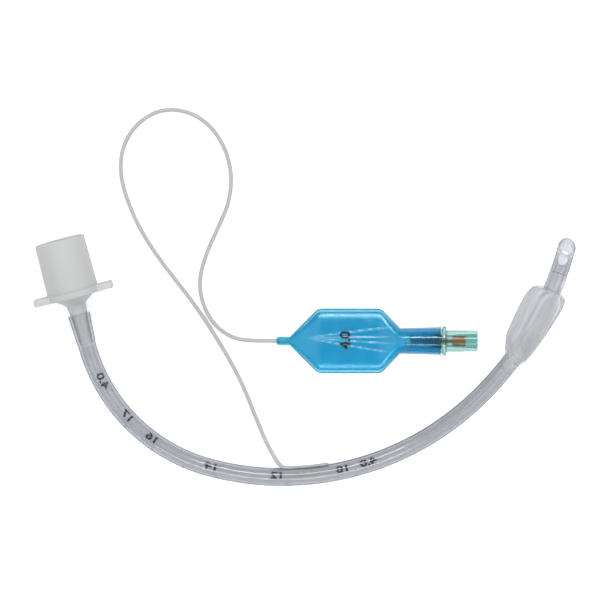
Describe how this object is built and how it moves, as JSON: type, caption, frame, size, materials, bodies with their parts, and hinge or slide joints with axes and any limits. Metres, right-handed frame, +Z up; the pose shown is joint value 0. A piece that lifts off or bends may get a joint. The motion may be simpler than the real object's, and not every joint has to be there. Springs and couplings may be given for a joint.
{
  "type": "endotracheal tube",
  "caption": "Curved clear breathing tube with a low cuff near its bevelled tip, a 15 mm connector, and a pilot balloon with a spring valve on a thin line.",
  "frame": {"origin": "middle of the tube assembly in plan, without the thin inflation line, on the surface that the tube lies on", "axes": "+X towards the cuff end, +Y across, on the open side of the bend, +Z up from the surface"},
  "size_m": [0.1624, 0.1137, 0.0175],
  "materials": {
    "clear_pvc": "clear flexible PVC, extruded",
    "cuff_film": "thin clear PVC film, blown and welded",
    "line_pvc": "thin clear PVC tubing",
    "natural_polypropylene": "natural translucent polypropylene, moulded",
    "blue_pvc": "blue transparent PVC, blown",
    "teal_polycarbonate": "teal transparent polycarbonate, moulded",
    "amber_acetal": "amber moulded plastic",
    "dark_silicone": "dark silicone rubber",
    "spring_steel": "drawn stainless spring wire"
  },
  "bodies": {
    "tube": {"shaft_tube": "clear_pvc", "line_end": "line_pvc", "connector": "natural_polypropylene", "cuff": "cuff_film", "pilot_balloon": "blue_pvc", "valve_housing": "teal_polycarbonate", "spring_retainer": "teal_polycarbonate", "valve_spring": "spring_steel", "inflation_line": "line_pvc"},
    "plunger": {"valve_plunger": "amber_acetal", "valve_seal": "dark_silicone"}
  },
  "joints": [
    {"name": "plunger_press", "type": "slide", "parent": "tube", "child": "plunger", "axis": [-0.998, 0, -0.0635], "range_m": [0, 0.002], "stiffness_N_per_m": 250, "springref_m": -0.001, "deforming": ["valve_spring"]}
  ]
}
